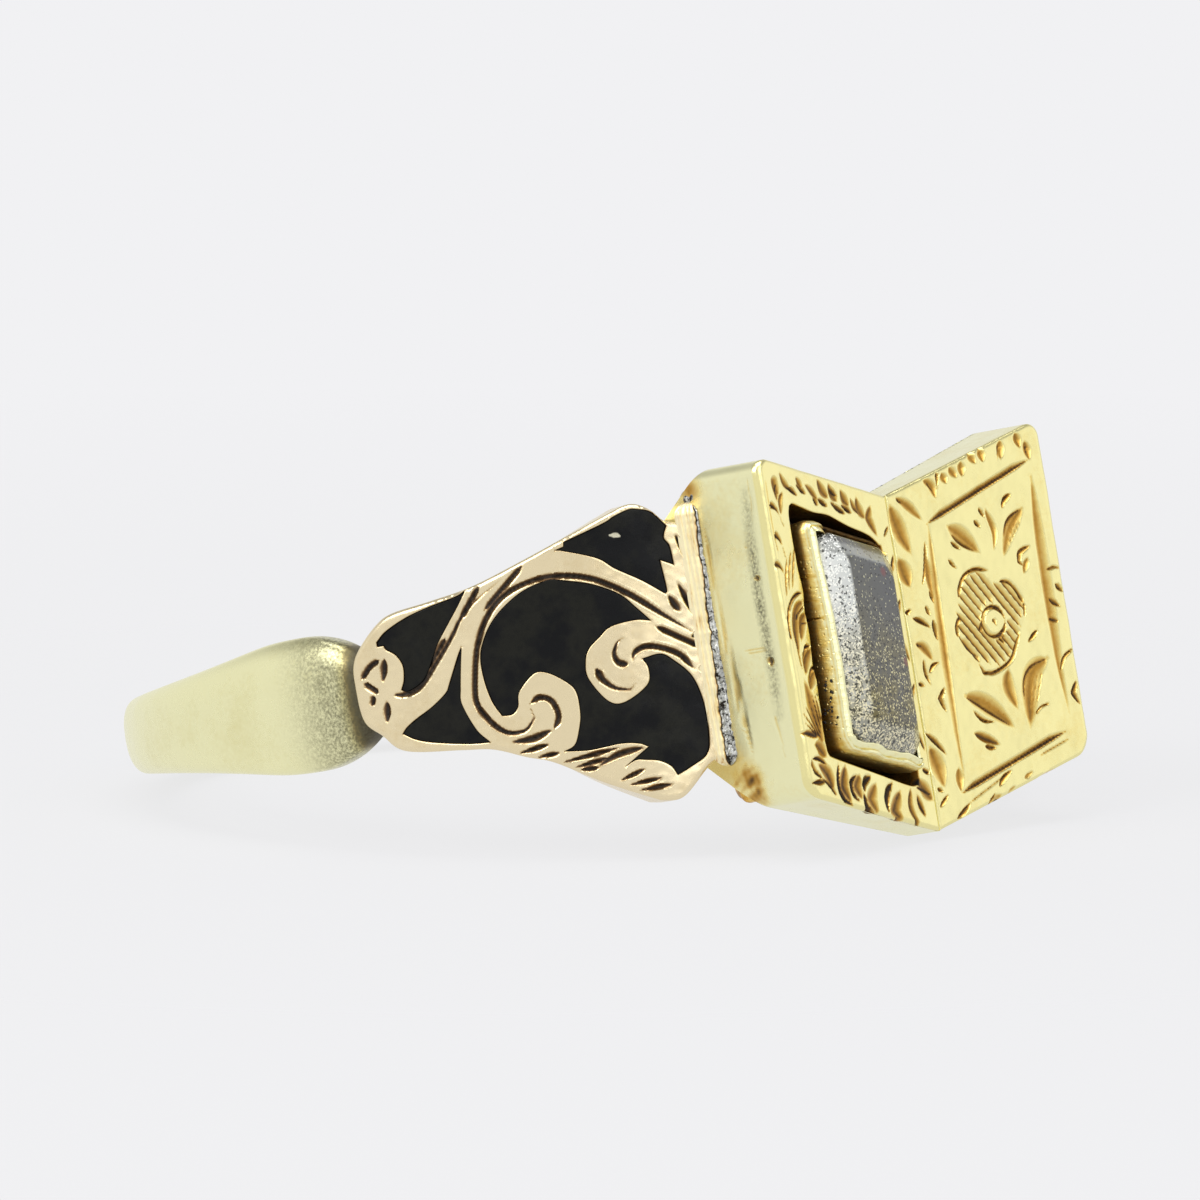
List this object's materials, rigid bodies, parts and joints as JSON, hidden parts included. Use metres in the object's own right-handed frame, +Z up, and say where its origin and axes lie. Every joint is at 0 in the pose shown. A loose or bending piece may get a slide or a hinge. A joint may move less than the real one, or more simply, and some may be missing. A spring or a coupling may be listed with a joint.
{
  "type": "mourning ring",
  "caption": "Gold ring lying on its side: tapered band, enamelled shoulders, and a head shaped as an open book with a glazed compartment in one page.",
  "frame": {"origin": "centre of the finger hole, halfway along the band's width", "axes": "+Z up as the ring lies on its side; the open book faces -Y and a little up; +X runs across the book towards its engraved right page"},
  "size_m": [0.0199, 0.0215, 0.0088],
  "materials": {
    "gold": "satin gold with fine scratches",
    "collet_gold": "worn, pitted gold",
    "crystal": "clear, polished, bevelled",
    "backing": "speckled grey foil",
    "black_enamel": "dull gloss, slightly uneven"
  },
  "bodies": {
    "root": {"ring_body": "gold", "setting": "collet_gold", "crystal": "crystal", "compartment_backing": "backing", "enamel_left_1": "black_enamel", "enamel_left_2": "black_enamel", "enamel_left_3": "black_enamel", "enamel_left_4": "black_enamel", "enamel_right_1": "black_enamel", "enamel_right_2": "black_enamel", "enamel_right_3": "black_enamel", "enamel_right_4": "black_enamel"}
  },
  "joints": []
}
